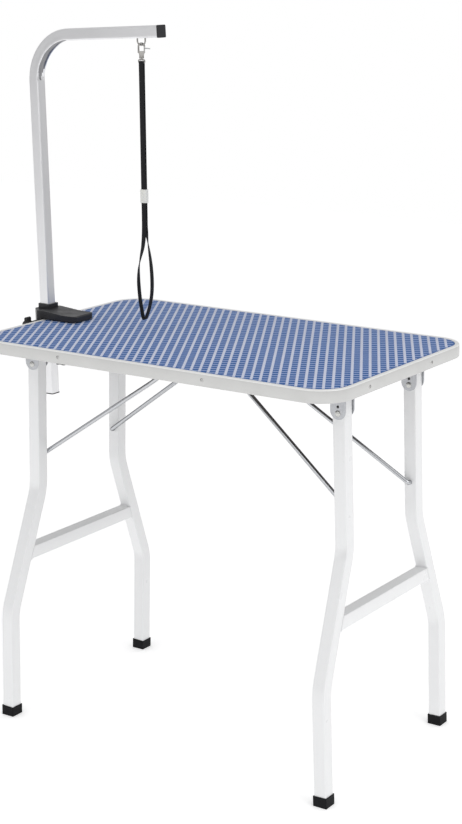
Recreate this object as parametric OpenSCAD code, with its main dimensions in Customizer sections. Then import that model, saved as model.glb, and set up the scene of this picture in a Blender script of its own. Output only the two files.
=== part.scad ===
// Folding pet grooming table: a matted work top on two folding leg frames, each held open by two
// brace rods, with a clamp-on overhead arm that carries a hanging noose.
// +Z is up and the floor is z = 0. The long side of the table runs along X and the arm stands at -X.

/* [Table top] */
// Length of the table top
top_l = 794; // [700:1:900]
// Width of the table top
top_w = 492; // [470:1:560]
// Height of the work surface above the floor
top_h = 764; // [740:1:800]
// Corner radius of the table top, seen from above
corner_r = 62; // [40:1:90]
// Height of the metal edge trim
trim_h = 24; // [22:1:28]
// Width of the lip that holds the mat down
lip_w = 8.5; // [6:0.5:12]
// Width of the trim's lower flange
flange_w = 12; // [8:1:20]
// Sheet thickness of the edge trim
trim_t = 1.5; // [1:0.1:2]
// Thickness of the wooden board
board_t = 18; // [15:1:20]

/* [Leg frames] */
// Distance from the table's centre to each hinge line
pivot_x = 342; // [330:1:360]
// Height of the hinge lines above the floor
pivot_h = 699; // [690:1:705]
// Outward lean of each leg frame, in degrees
splay = 1.8; // [1:0.1:2.5]
// Side of the square leg tube
leg_a = 25; // [22:1:28]
// Wall of the leg tube
leg_wall = 1.5; // [1:0.1:2]
// Half the distance between a frame's legs at the hinge
leg_y_top = 124; // [115:1:130]
// Half the distance between a frame's legs at the floor
leg_y_foot = 211; // [195:1:215]
// Height at which a leg starts to slant outward
bend_high = 448; // [430:1:470]
// Height at which a leg is straight again
bend_low = 215; // [190:1:240]
// Radius of the leg bends
leg_bend_r = 110; // [60:5:140]
// Height of the crossbar's centre
crossbar_h = 325; // [310:1:340]
// Height of the rubber foot caps
foot_h = 20; // [15:1:30]
// Outside of the square foot caps
foot_a = 28; // [26:0.5:32]

/* [Braces] */
// Diameter of the brace rods
rod_d = 8; // [6:0.5:9]
// Distance from the hinge line down to where a rod enters the leg
rod_drop = 184.5; // [175:0.5:190]
// Distance from the table's centre to each rod's hooked end, along X
rod_end_x = 31; // [28:0.5:36]
// Half the distance between the left frame's rods at their hooked ends
left_rod_y = 72; // [70:1:76]
// Half the distance between the right frame's rods at their hooked ends
right_rod_y = 41; // [38:1:42]

/* [Overhead arm] */
// Side of the square arm tube
arm_a = 22; // [20:0.5:24]
// Wall of the arm tube
arm_wall = 1.2; // [1:0.1:1.5]
// Distance from the table's centre to the arm, along X
arm_x = 412; // [412:0.5:414]
// Offset of the arm from the table's long axis, along Y
arm_y = -5; // [-8:0.5:0]
// Outward lean of the arm in its clamp, in degrees
arm_lean = 1; // [0:0.1:1]
// Height of the arm's corner above the work surface
arm_rise = 541; // [520:1:560]
// Length of the arm's overhead run, from its corner
arm_reach = 298; // [285:1:310]
// Length of arm tube below the work surface
arm_tail = 156; // [140:1:170]
// Upward slope of the overhead run from square, in degrees
arm_slope = 2.1; // [1.5:0.1:2.5]
// Radius of the arm's bend
arm_bend_r = 90; // [70:5:110]

/* [Noose] */
// Distance from the table's centre to the hanging noose, along X
hang_x = 167.5; // [160:0.5:175]
// Width of the noose webbing
strap_w = 10; // [8:1:10]
// Height of the noose slide
slide_h = 25; // [20:1:30]
// Angle that the snap hook is turned to, in degrees
hook_turn = 50; // [45:1:60]

/* [Hidden] */
$fn = 64;

FRONT = -1;
REAR = 1;
LEFT = -1;
RIGHT = 1;

screw_head = 1.2;
clamp_back_x = 433;
table_x = (clamp_back_x - top_l / 2 - screw_head) / 2;

board_top = top_h - 4;
board_low = board_top - board_t;
trim_low = top_h - trim_h;
board_gap = 0.3;
mat_top = top_h - 0.2;

bracket_t = 2;
bracket_w = 31;
bracket_gap = 0.6;
bracket_bottom = pivot_h - 11;
upper_hole_rise = 12;
pin_r = 3.5;
pin_fit = 0.05;
leg_top = 24;
leg_end = pivot_h / cos(splay) - 5;
slant = atan((leg_y_foot - leg_y_top) / (bend_high - bend_low));
crossbar_y = leg_y_top + (leg_y_foot - leg_y_top) * (bend_high - crossbar_h) / (bend_high - bend_low);

rod_r = rod_d / 2;
rod_end_h = board_low - 7;
anchor_x = pivot_x + rod_drop * sin(splay);
anchor_h = pivot_h - rod_drop * cos(splay);
rod_len = sqrt(pow(anchor_x - rod_end_x, 2) + pow(rod_end_h - anchor_h, 2));
rod_angle = atan((rod_end_h - anchor_h) / (anchor_x - rod_end_x));
rod_inner_y = leg_y_top - leg_a / 2;
rod_bend_r = 6;
flare_at = 286;
flare_y = 68.75;
rod_tip = 14;
hook_w = 7;
hook_plate_x = 48;
hook_plate_y = 92;
hook_screws = [[-20, -58], [-20, 58], [20, -58], [20, 58]];

clamp_throat = 64;
jaw_under = top_h + 2;
clamp_l = 120;
clamp_chamfer = 25;
collar_w = 29;
spine_gap = 0.5;
lower_jaw_reach = 20;
nose_drop = 2;
nose_run = 3;
ramp_end = 88;
ramp_rise = 4.5;
jaw_top = jaw_under + 11;
clamp_low = jaw_under - clamp_throat - 12;
collar_top = top_h + 25;
jaw_y = -14;
jaw_w = 60;
screw_x = 366;
lock_h = top_h - 7;
sleeve_gap = 0.3;

eye_r = 1.4;
eye_half = 9;
eye_h = 1295;
hook_r = 1.6;
hook_half = 5.5;
hook_centre_h = eye_h - 2.2;
gate_x = 4.9;
gate_h = 1282.3;
barrel_low = 1271;
barrel_top = 1277;
shoulder_top = 1284;
swivel_head_h = barrel_low + 2.6;
ring_low = 1263.4;
ring_high = 1268.6;
ring_wire_r = 1.2;
ring_half = 7;

// The noose's route from the swivel eye, down, round and up again: x and y from the hanging line,
// z from the floor, then the turn of the webbing's flat side.
strap_route = [
    [0, -0.15, 1265.7, 0], [0, -1.7, 1265, 0], [0, -2.3, 1263.2, 0], [0, -2.3, 1255, 0],
    [0, -2.2, 1225, 0], [0, -2.2, 1185, 0], [0, -2.2, 1145, 0],
    [0, -2.2, 1105, 0], [0, -2.2, 1065, 0], [0, -2.2, 1030, 0], [0, -2.2, 1000, 0],
    [0, -2.2, 970, 0], [-1, -2.4, 945, -4], [-4, -2.6, 922, -18], [-10, -2.2, 902, -40],
    [-15, -1.5, 882, -64], [-17, -0.6, 860, -84], [-16.5, 0, 838, -90], [-14, 0, 816, -90],
    [-11, 0, 799, -90], [-9, 0, 789, -90], [-7, 0, 784.2, -90], [-4, 0, 783.2, -90],
    [-1.4, 0, 785.5, -90], [1, 0, 791, -90], [5, 0, 801, -90], [10, 0, 817, -90],
    [13.5, 0, 836, -90], [14.5, 0, 856, -90], [13.5, 0.4, 876, -88], [11, 1.2, 896, -80],
    [7.5, 2.2, 914, -68], [4, 3.2, 930, -50], [1.5, 3.4, 946, -25], [0, 2.6, 962, -6],
    [0, 2.2, 980, 0], [0, 2.2, 1005, 0], [0, 2.2, 1030, 0], [0, 2.2, 1065, 0],
    [0, 2.2, 1105, 0], [0, 2.2, 1145, 0], [0, 2.2, 1185, 0], [0, 2.2, 1225, 0],
    [0, 2.3, 1255, 0], [0, 2.3, 1263.2, 0], [0, 1.7, 1265, 0], [0, 0.15, 1265.7, 0]];

// ---------- shared shapes ----------

// A rounded rectangle with true arcs at its corners.
module round_rect(x, y, r) {
    square([x, y - 2 * r], center = true);
    square([x - 2 * r, y], center = true);
    for (sx = [-1, 1], sy = [-1, 1]) translate([sx * (x / 2 - r), sy * (y / 2 - r)]) circle(r);
}

function turn_at(p, i) =
    let (u = p[i] - p[i - 1], v = p[i + 1] - p[i])
    atan2(u[0] * v[1] - u[1] * v[0], u[0] * v[0] + u[1] * v[1]);
function trim_at(p, i, r) = (i == 0 || i == len(p) - 1) ? 0 : r * tan(abs(turn_at(p, i)) / 2);

// Sweeps a flat profile along a path in the XY plane, with an arc of radius r at each inner point.
// The straights reach a little way into the arcs, which are a hair larger, so all is one solid.
module bent(p, r) {
    for (i = [0:len(p) - 2]) {
        v = p[i + 1] - p[i];
        a = atan2(v[1], v[0]);
        from = i == 0 ? 0 : trim_at(p, i, r) - 0.15;
        to = norm(v) - (i == len(p) - 2 ? 0 : trim_at(p, i + 1, r) - 0.15);
        translate([p[i][0] + from * cos(a), p[i][1] + from * sin(a), 0])
            rotate([90, 0, a + 90]) linear_extrude(to - from) children();
    }
    for (i = [1:1:len(p) - 2]) {
        t = turn_at(p, i);
        v = p[i] - p[i - 1];
        a = atan2(v[1], v[0]);
        back = norm(v) - trim_at(p, i, r);
        side = t > 0 ? 90 : -90;
        translate([p[i - 1][0] + back * cos(a) + r * cos(a + side),
                   p[i - 1][1] + back * sin(a) + r * sin(a + side), 0])
            rotate([0, 0, t > 0 ? a - 90 : a + 90 + t])
                rotate_extrude(angle = abs(t)) translate([r, 0]) scale(1.004) children();
    }
}

module on_table() translate([table_x, 0, 0]) children();

// A leg frame's own axes: origin on the hinge line, legs down -Z.
module in_frame(side) on_table() translate([side * pivot_x, 0, pivot_h])
    rotate([0, -side * splay, 0]) children();

// The arm's own axes: origin at the work surface, tube along Z, overhead run along +X.
module in_arm() on_table() translate([-arm_x, arm_y, top_h]) rotate([0, -arm_lean, 0]) children();

module at_noose() on_table() translate([-hang_x, arm_y, 0]) children();
module in_hook() at_noose() rotate([0, 0, hook_turn]) children();

// ---------- table top ----------

module board() color("burlywood") on_table() translate([0, 0, board_low]) difference() {
    linear_extrude(board_t) round_rect(top_l - 2 * trim_t - 2 * board_gap,
                                       top_w - 2 * trim_t - 2 * board_gap, corner_r - trim_t);
    for (q = hook_screws) translate([q[0], q[1], -1]) cylinder(r = 1.6, h = 13);
    for (s = [-1, 1], e = [-1, 1], t = [-1, 1])
        translate([s * pivot_x + t * 23, e * leg_y_top, -1]) cylinder(r = 1.6, h = 13);
}

module rubber_mat() color("steelblue") on_table() translate([0, 0, board_top])
    linear_extrude(mat_top - board_top)
        round_rect(top_l - 2 * lip_w - 0.6, top_w - 2 * lip_w - 0.6, corner_r - lip_w);

module edge_trim() color("gainsboro") on_table() difference() {
    translate([0, 0, trim_low]) linear_extrude(trim_h) round_rect(top_l, top_w, corner_r);
    translate([0, 0, board_low]) linear_extrude(board_t)
        round_rect(top_l - 2 * trim_t, top_w - 2 * trim_t, corner_r - trim_t);
    translate([0, 0, board_top - 1]) linear_extrude(10)
        round_rect(top_l - 2 * lip_w, top_w - 2 * lip_w, corner_r - lip_w);
    translate([0, 0, trim_low - 1]) linear_extrude(10)
        round_rect(top_l - 2 * flange_w, top_w - 2 * flange_w, corner_r - flange_w);
}

module trim_screw() rotate([90, 0, 0]) cylinder(r1 = 3.4, r2 = 2.2, h = screw_head);

module trim_screws() color("silver") on_table() {
    for (x = [-187, 133]) {
        translate([x, -top_w / 2, top_h - 12]) trim_screw();
        translate([x, top_w / 2, top_h - 12]) rotate([0, 0, 180]) trim_screw();
    }
    for (y = [-125, 94]) {
        translate([top_l / 2, y, top_h - 13]) rotate([0, 0, 90]) trim_screw();
        translate([-top_l / 2, y, top_h - 13]) rotate([0, 0, -90]) trim_screw();
    }
}

// ---------- hinge brackets ----------

ear_in = leg_a / 2 + bracket_gap;
ear_out = ear_in + bracket_t;

module ear() rotate([90, 0, 0]) linear_extrude(bracket_t) difference() {
    union() {
        translate([-bracket_w / 2, bracket_bottom + bracket_w / 2])
            square([bracket_w, board_low - bracket_bottom - bracket_w / 2]);
        translate([0, bracket_bottom + bracket_w / 2]) circle(bracket_w / 2);
    }
    translate([0, pivot_h]) circle(pin_r);
    translate([0, pivot_h + upper_hole_rise]) circle(2.7);
}

module bracket(side, end) color("lightgray") on_table()
    translate([side * pivot_x, end * leg_y_top, 0]) {
        translate([0, -ear_in, 0]) ear();
        translate([0, ear_out, 0]) ear();
        difference() {
            translate([-32, -ear_out, board_low - bracket_t]) cube([64, 2 * ear_out, bracket_t]);
            for (t = [-1, 1]) translate([t * 23, 0, board_low - 5]) cylinder(r = 2.2, h = 10);
        }
    }

module wood_screw() {
    cylinder(r1 = 2.4, r2 = 4.2, h = 2.2);
    translate([0, 0, 2]) cylinder(r = 1.6, h = 13);
}

module bracket_screws() color("silver") on_table()
    for (s = [LEFT, RIGHT], e = [FRONT, REAR], t = [-1, 1])
        translate([s * pivot_x + t * 23, e * leg_y_top, board_low - bracket_t - 2.2]) wood_screw();

module hinge_pin() rotate([90, 0, 0]) {
    translate([0, 0, -ear_out]) cylinder(r = pin_r, h = 2 * ear_out);
    translate([0, 0, ear_out]) cylinder(r1 = 5.6, r2 = 3.4, h = 2);
    translate([0, 0, -ear_out - 2]) cylinder(r1 = 3.4, r2 = 5.6, h = 2);
}

module hinge_pins() color("silver") on_table()
    for (s = [LEFT, RIGHT], e = [FRONT, REAR])
        translate([s * pivot_x, e * leg_y_top, pivot_h]) hinge_pin();

// ---------- leg frames ----------

function leg_path(end, more) = [
    [end * leg_y_top, leg_top + more], [end * leg_y_top, bend_high - pivot_h],
    [end * leg_y_foot, bend_low - pivot_h], [end * leg_y_foot, -leg_end - more]];

module leg(side, end) color("white") difference() {
    in_frame(side) rotate([90, 0, 90])
        bent(leg_path(end, 0), leg_bend_r) round_rect(leg_a, leg_a, 2.5);
    in_frame(side) rotate([90, 0, 90])
        bent(leg_path(end, 1), leg_bend_r) square(leg_a - 2 * leg_wall, center = true);
    in_frame(side) translate([0, end * leg_y_top, 0]) rotate([90, 0, 0]) {
        cylinder(r = pin_r + pin_fit, h = 2 * leg_a, center = true);
        translate([0, upper_hole_rise, 0]) cylinder(r = 2.7, h = 2 * leg_a, center = true);
    }
    in_frame(side) translate([0, end * rod_inner_y, -rod_drop]) rotate([90, 0, 0])
        cylinder(r = rod_r + pin_fit, h = 8, center = true);
}

module crossbar(side) color("white") in_frame(side)
    translate([0, 0, crossbar_h - pivot_h]) difference() {
        translate([-leg_a / 2, 0, 0]) rotate([90, 0, 90]) linear_extrude(leg_a) polygon([
            for (c = [[1, 1], [-1, 1], [-1, -1], [1, -1]])
                [c[0] * (crossbar_y - leg_a / 2 / cos(slant) - c[1] * leg_a / 2 * tan(slant)),
                 c[1] * leg_a / 2]]);
        cube([leg_a - 2 * leg_wall, 2 * crossbar_y, leg_a - 2 * leg_wall], center = true);
    }

module foot(side, end) color("#202020") intersection() {
    in_frame(side) translate([0, end * leg_y_foot, 0]) difference() {
        translate([-foot_a / 2, -foot_a / 2, -leg_end - 8]) cube([foot_a, foot_a, foot_h + 3]);
        translate([-leg_a / 2, -leg_a / 2, -leg_end]) cube([leg_a, leg_a, foot_h + 10]);
    }
    translate([-top_l, -top_w, 0]) cube([2 * top_l, 2 * top_w, top_h]);
}

module leg_plugs(side) color("#202020") in_frame(side)
    for (end = [FRONT, REAR]) translate([0, end * leg_y_top, 0]) {
        translate([-leg_a / 2, -leg_a / 2, leg_top]) cube([leg_a, leg_a, 2]);
        translate([-leg_a / 2 + leg_wall, -leg_a / 2 + leg_wall, leg_top - 7])
            cube([leg_a - 2 * leg_wall, leg_a - 2 * leg_wall, 7]);
    }

function rod_hook_y(side) = side == LEFT ? left_rod_y : right_rod_y;

// The left frame's rods end in tips bent outward and the right frame's in tips bent inward, so
// that either frame folds past the other's rods.
module brace(side, end) color("silver") on_table() translate([side * anchor_x, 0, anchor_h])
    rotate([0, 0, side == RIGHT ? 180 : 0]) rotate([0, -rod_angle, 0]) {
        e = -side * end;
        y = rod_hook_y(side);
        tip = y + (side == LEFT ? rod_tip : -rod_tip);
        flare = side == LEFT ? [[flare_at, e * flare_y]] : [];
        bent(concat([[0, e * (rod_inner_y + 7)], [0, e * (rod_inner_y - rod_bend_r - 1)]],
                    flare, [[rod_len, e * y], [rod_len, e * tip]]), rod_bend_r) circle(rod_r);
    }

// The C-shaped hooks open towards the middle, so a rod's pull seats it and a push frees it.
module hook_profile() difference() {
    translate([-rod_end_x, rod_end_h]) circle(rod_r + 2.8);
    translate([-rod_end_x, rod_end_h]) circle(rod_r + 0.3);
    translate([-rod_end_x, rod_end_h]) rotate(-112) square([30, 30]);
    translate([-rod_end_x, rod_end_h]) rotate(-22) square([30, 30]);
    translate([-rod_end_x - 20, board_low]) square([40, 10]);
}

module rod_hooks(side) {
    tip = rod_tip - 1;
    from = rod_hook_y(side) + (side == LEFT ? tip - hook_w : -tip);
    for (end = [FRONT, REAR]) rotate([0, 0, side == RIGHT ? 180 : 0])
        translate([0, end > 0 ? from + hook_w : -from, 0]) rotate([90, 0, 0])
            linear_extrude(hook_w) hook_profile();
}

module brace_hook_plate() color("lightgray") on_table() {
    rod_hooks(LEFT);
    rod_hooks(RIGHT);
    difference() {
        translate([-hook_plate_x, -hook_plate_y, board_low - 2])
            cube([2 * hook_plate_x, 2 * hook_plate_y, 2]);
        for (q = hook_screws) translate([q[0], q[1], board_low - 5]) cylinder(r = 2.2, h = 10);
    }
}

module hook_plate_screws() color("silver") on_table()
    for (q = hook_screws) translate([q[0], q[1], board_low - 4.2]) wood_screw();

// ---------- arm clamp ----------

// Seen from above: a chamfer by the arm and rounded corners over the mat.
module clamp_outline() difference() {
    translate([-clamp_back_x + clamp_l / 2, jaw_y]) round_rect(clamp_l, jaw_w, 9);
    translate([-clamp_back_x, jaw_y - jaw_w / 2]) rotate(45) square(2 * clamp_chamfer / sqrt(2),
                                                                    center = true);
}

// Seen from the side: a spine outside the table edge with an upper and a lower jaw.
module clamp_side() polygon([
    [-clamp_back_x, clamp_low], [-screw_x + lower_jaw_reach, clamp_low],
    [-screw_x + lower_jaw_reach, jaw_under - clamp_throat],
    [-top_l / 2 - spine_gap, jaw_under - clamp_throat], [-top_l / 2 - spine_gap, jaw_under],
    [-clamp_back_x + clamp_l, jaw_under], [-clamp_back_x + clamp_l, jaw_top - nose_drop],
    [-clamp_back_x + clamp_l - nose_run, jaw_top], [-clamp_back_x + ramp_end, jaw_top],
    [-top_l / 2, jaw_top + ramp_rise], [-clamp_back_x, jaw_top + nose_drop]]);

module clamp_body() color("#252525") difference() {
    union() {
        on_table() intersection() {
            translate([0, 60, 0]) rotate([90, 0, 0]) linear_extrude(120) clamp_side();
            translate([0, 0, clamp_low - 1]) linear_extrude(200) clamp_outline();
        }
        on_table() translate([-arm_x + 0.5, arm_y + 0.5, jaw_under])
            linear_extrude(collar_top - jaw_under) round_rect(collar_w, collar_w, 3);
    }
    in_arm() translate([-arm_a / 2 - sleeve_gap, -arm_a / 2 - sleeve_gap, -120])
        cube([arm_a + 2 * sleeve_gap, arm_a + 2 * sleeve_gap, 240]);
    on_table() translate([-screw_x, jaw_y, clamp_low - 5]) cylinder(r = 5.08, h = 30);
    on_table() translate([-arm_x, jaw_y, lock_h]) rotate([90, 0, 0]) cylinder(r = 4.08, h = 60);
}

module clamp_jaw_pad() color("#181818") on_table()
    translate([-top_l / 2 + 42, jaw_y, top_h])
        linear_extrude(jaw_under - top_h) round_rect(70, jaw_w - 8, 6);

module clamp_foot() color("#202020") on_table() translate([-screw_x, jaw_y, board_low]) difference() {
    translate([0, 0, -7]) cylinder(r1 = 10, r2 = 14, h = 7);
    translate([0, 0, -8]) cylinder(r = 5.08, h = 5);
}

module clamp_screw() color("silver") on_table() translate([-screw_x, jaw_y, 0])
    translate([0, 0, clamp_low - 16]) cylinder(r = 5, h = board_low - 3.1 - clamp_low + 16);

module clamp_knob() color("#202020") on_table()
    translate([-screw_x, jaw_y, clamp_low - 16.5]) difference() {
        union() {
            cylinder(r = 13, h = 13);
            for (k = [0:5]) rotate([0, 0, k * 60]) translate([13, 0, 0]) cylinder(r = 4.5, h = 13);
        }
        translate([0, 0, 0.5]) cylinder(r = 5, h = 20);
    }

module on_lock() on_table() translate([-arm_x, 0, lock_h]) rotate([90, 0, 0]) children();
lock_tip = -arm_y + arm_a / 2 + 0.1;

module lock_shoe() color("ivory") on_lock() translate([0, 0, lock_tip])
    cylinder(r = 4, h = 2.5);

module lock_screw() color("silver") on_lock() translate([0, 0, lock_tip + 2.5])
    cylinder(r = 4, h = 48);

module lock_knob() color("#202020") on_lock() translate([0, 0, lock_tip + 44]) difference() {
    union() {
        cylinder(r = 7, h = 15);
        linear_extrude(13) round_rect(7, 28, 3.4);
    }
    translate([0, 0, -1]) cylinder(r = 4, h = 7.5);
}

// ---------- arm ----------

function arm_end(more) = [(arm_reach + more) * cos(arm_slope),
                          arm_rise + (arm_reach + more) * sin(arm_slope)];
function arm_path(more) = [[0, -arm_tail - more], [0, arm_rise], arm_end(more)];

module arm_tube() color("gainsboro") difference() {
    in_arm() rotate([90, 0, 0]) bent(arm_path(0), arm_bend_r) round_rect(arm_a, arm_a, 2.2);
    in_arm() rotate([90, 0, 0]) bent(arm_path(1), arm_bend_r)
        square(arm_a - 2 * arm_wall, center = true);
    for (x = [-1, 1]) at_noose() translate([x * eye_half, 0, eye_h]) cylinder(r = eye_r + 0.1, h = 20);
}

module square_plug(head, depth) {
    inner = arm_a - 2 * arm_wall;
    linear_extrude(head) round_rect(arm_a + 1, arm_a + 1, 2.5);
    translate([0, 0, -depth]) linear_extrude(depth) square(inner, center = true);
}

module arm_end_cap() color("#303030") in_arm()
    translate([arm_end(0)[0], 0, arm_end(0)[1]]) rotate([0, 90 - arm_slope, 0]) square_plug(4, 14);

module arm_tail_plug() color("#303030") in_arm()
    translate([0, 0, -arm_tail]) rotate([180, 0, 0]) square_plug(2, 10);

module noose_eye() color("silver") at_noose() rotate([90, 0, 0])
    bent([[-eye_half, eye_h + 16], [-eye_half, eye_h], [eye_half, eye_h], [eye_half, eye_h + 16.8]],
         eye_half - 1) circle(eye_r);

// ---------- snap hook ----------

// The gate's pivot axis, as Z.
module at_gate() translate([gate_x, 0, gate_h]) rotate([90, 0, 0]) children();

module snap_hook() color("silver") in_hook() difference() {
    union() {
        rotate([90, 0, 0]) bent([[-hook_half, 1281], [-hook_half, hook_centre_h + hook_half],
            [hook_half, hook_centre_h + hook_half], [hook_half, hook_centre_h - 1]], hook_half - 0.01)
            circle(hook_r);
        translate([0, 0, barrel_top]) cylinder(r1 = 4.4, r2 = 6.4, h = shoulder_top - barrel_top);
        translate([0, 0, barrel_low]) cylinder(r = 4.4, h = barrel_top - barrel_low);
    }
    translate([0, 0, barrel_low - 1]) cylinder(r = 2.15, h = 4);
    translate([0, 0, swivel_head_h - 0.3]) cylinder(r = 3.5, h = 2.9);
    translate([1.4, -1.5, gate_h - 2.3]) cube([10, 3, 10]);
    at_gate() cylinder(r = 0.8, h = 20, center = true);
}

module snap_gate() color("silver") in_hook() difference() {
    union() {
        at_gate() cylinder(r = 1.7, h = 2.4, center = true);
        translate([gate_x - 0.4, -1.2, gate_h]) cube([2, 2.4, 9]);
        translate([gate_x + 0.4, 0, gate_h + 7.2]) rotate([0, 96, 0]) cylinder(r = 1.1, h = 11);
    }
    at_gate() cylinder(r = 0.85, h = 10, center = true);
}

module gate_pin() color("silver") in_hook() at_gate() cylinder(r = 0.8, h = 7.4, center = true);

module swivel_eye() color("silver") at_noose() {
    translate([0, 0, ring_high]) cylinder(r = 2.1, h = swivel_head_h - ring_high + 1);
    translate([0, 0, swivel_head_h]) cylinder(r = 3.2, h = 2.2);
    rotate([90, 0, 0]) bent([[-1, ring_high], [-ring_half, ring_high], [-ring_half, ring_low],
                             [ring_half, ring_low], [ring_half, ring_high], [1, ring_high]], 2)
        circle(ring_wire_r);
}

// ---------- noose ----------

function route_point(i) = [strap_route[i][0], strap_route[i][1], strap_route[i][2]];
function route_way(i) =
    let (a = route_point(max(i - 1, 0)), b = route_point(min(i + 1, len(strap_route) - 1)))
    (b - a) / norm(b - a);
function flat_way(i) =
    let (t = route_way(i), a = strap_route[i][3], w = [cos(a), sin(a), 0], s = w - t * (w * t))
    s / norm(s);
sides = 8;
strap_half_t = 1;
function strap_ring(i) =
    let (w = flat_way(i), n = cross(route_way(i), w))
    [for (k = [0:sides - 1]) route_point(i) + w * (strap_w / 2 * cos(k * 360 / sides))
                                            + n * (strap_half_t * sin(k * 360 / sides))];

module noose_strap() color("#151515") at_noose() polyhedron(
    points = [for (i = [0:len(strap_route) - 1]) for (q = strap_ring(i)) q],
    faces = concat(
        [[for (k = [sides - 1:-1:0]) k]],
        [for (i = [0:len(strap_route) - 2], k = [0:sides - 1])
            [i * sides + k, i * sides + (k + 1) % sides, (i + 1) * sides + k]],
        [for (i = [0:len(strap_route) - 2], k = [0:sides - 1])
            [i * sides + (k + 1) % sides, (i + 1) * sides + (k + 1) % sides, (i + 1) * sides + k]],
        [[for (k = [0:sides - 1]) (len(strap_route) - 1) * sides + k]]));

module noose_slide() color("whitesmoke") at_noose() translate([0, 0, 1006]) difference() {
    linear_extrude(slide_h) round_rect(13.6, 10.4, 2.5);
    translate([0, 0, -1]) linear_extrude(slide_h + 2) square([11, 7.6], center = true);
}

board();
rubber_mat();
edge_trim();
trim_screws();
bracket(LEFT, FRONT);  // left_front_bracket
bracket(LEFT, REAR);  // left_rear_bracket
bracket(RIGHT, FRONT);  // right_front_bracket
bracket(RIGHT, REAR);  // right_rear_bracket
bracket_screws();
hinge_pins();
brace_hook_plate();
hook_plate_screws();
leg(LEFT, FRONT);  // left_front_leg
leg(LEFT, REAR);  // left_rear_leg
crossbar(LEFT);  // left_crossbar
foot(LEFT, FRONT);  // left_front_foot
foot(LEFT, REAR);  // left_rear_foot
leg_plugs(LEFT);  // left_leg_plugs
brace(LEFT, FRONT);  // left_front_brace
brace(LEFT, REAR);  // left_rear_brace
leg(RIGHT, FRONT);  // right_front_leg
leg(RIGHT, REAR);  // right_rear_leg
crossbar(RIGHT);  // right_crossbar
foot(RIGHT, FRONT);  // right_front_foot
foot(RIGHT, REAR);  // right_rear_foot
leg_plugs(RIGHT);  // right_leg_plugs
brace(RIGHT, FRONT);  // right_front_brace
brace(RIGHT, REAR);  // right_rear_brace
clamp_body();
clamp_jaw_pad();
clamp_foot();
clamp_screw();
clamp_knob();
lock_shoe();
lock_screw();
lock_knob();
arm_tube();
arm_end_cap();
arm_tail_plug();
noose_eye();
snap_hook();
snap_gate();
gate_pin();
swivel_eye();
noose_strap();
noose_slide();
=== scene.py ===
# Folding pet grooming table: looks, final meshes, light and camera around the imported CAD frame.
import math
import bpy
import bmesh
from mathutils import Matrix, Vector

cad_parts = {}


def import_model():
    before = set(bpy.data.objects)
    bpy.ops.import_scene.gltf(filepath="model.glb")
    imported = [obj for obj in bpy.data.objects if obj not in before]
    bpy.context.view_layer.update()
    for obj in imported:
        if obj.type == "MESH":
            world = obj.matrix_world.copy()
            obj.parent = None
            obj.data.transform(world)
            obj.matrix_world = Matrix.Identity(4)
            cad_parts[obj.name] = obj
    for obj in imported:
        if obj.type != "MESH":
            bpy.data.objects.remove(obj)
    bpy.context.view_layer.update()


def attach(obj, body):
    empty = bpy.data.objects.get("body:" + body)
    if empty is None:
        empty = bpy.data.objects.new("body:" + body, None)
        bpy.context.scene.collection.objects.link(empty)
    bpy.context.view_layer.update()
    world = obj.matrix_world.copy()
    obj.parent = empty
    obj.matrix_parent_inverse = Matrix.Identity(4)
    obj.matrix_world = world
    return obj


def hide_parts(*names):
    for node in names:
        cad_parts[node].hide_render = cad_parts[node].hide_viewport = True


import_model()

TABLE_X = 0.0174
PIVOT_X, PIVOT_Z, SPLAY = 0.342, 0.699, 1.8
TOP_L, TOP_W, TOP_H = 0.794, 0.492, 0.764
CORNER_R, LIP_W, TRIM_H = 0.062, 0.0085, 0.024
BOARD_LOW, BOARD_TOP = 0.742, 0.760
LEG_A, LEG_WALL, LEG_CORNER_R = 0.025, 0.0015, 0.0015
LEG_Y, FOOT_Y = 0.124, 0.211
LEG_LINE = [(LEG_Y, 0.024), (LEG_Y, -0.251), (FOOT_Y, -0.484), (FOOT_Y, -0.69434)]
LEG_BEND_R, LEG_DENT = 0.110, 0.0024
PIN_BORE_R, STOP_HOLE_R, STOP_HOLE_UP = 0.00355, 0.0027, 0.012
CROSSBAR_Z, CROSSBAR_Y, SLANT = -0.374, 0.16993, 20.48
ROD_DROP, ROD_R, ROD_ANGLE, ROD_BEND_R, ROD_BORE_R = 0.1845, 0.004, 34.828, 0.006, 0.00405
ROD_START = [(0.0, 0.1185), (0.0, 0.1045)]
ROD_END = {"left": [(0.286, 0.06875), (0.386, 0.072), (0.386, 0.086)],
           "right": [(0.386, 0.041), (0.386, 0.027)]}
ARM_A, ARM_WALL, ARM_BEND_R = 0.022, 0.0012, 0.090
ARM_X, ARM_Y, ARM_LEAN, HANG_X = -0.412, -0.005, 1.0, -0.1675
ARM_TAIL, ARM_RISE, ARM_RUN, ARM_SLOPE, ARM_DENT = -0.156, 0.541, 0.298, 2.1, 0.0042
HANG = Vector((TABLE_X + HANG_X, ARM_Y, 0.0))
SIDES = {"left": -1, "right": 1}
ENDS = {"front": -1, "rear": 1}


# ---------- frames of the parts ----------

def turned(angle, axis):
    return Matrix.Rotation(math.radians(angle), 4, axis)


def leg_frame(side):
    return Matrix.Translation((TABLE_X + side * PIVOT_X, 0, PIVOT_Z)) @ turned(-side * SPLAY, "Y")


def arm_frame():
    return Matrix.Translation((TABLE_X + ARM_X, ARM_Y, TOP_H)) @ turned(-ARM_LEAN, "Y")


# ---------- meshes ----------

def mesh_object(name, verts, faces, uvs=None):
    mesh = bpy.data.meshes.new(name)
    mesh.from_pydata([tuple(v) for v in verts], [], faces)
    if uvs:
        layer = mesh.uv_layers.new(name="UVMap")
        for poly in mesh.polygons:
            for k, loop in enumerate(poly.loop_indices):
                layer.data[loop].uv = uvs[poly.index][k]
    mesh.update()
    obj = bpy.data.objects.new(name, mesh)
    bpy.context.scene.collection.objects.link(obj)
    return obj


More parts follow.
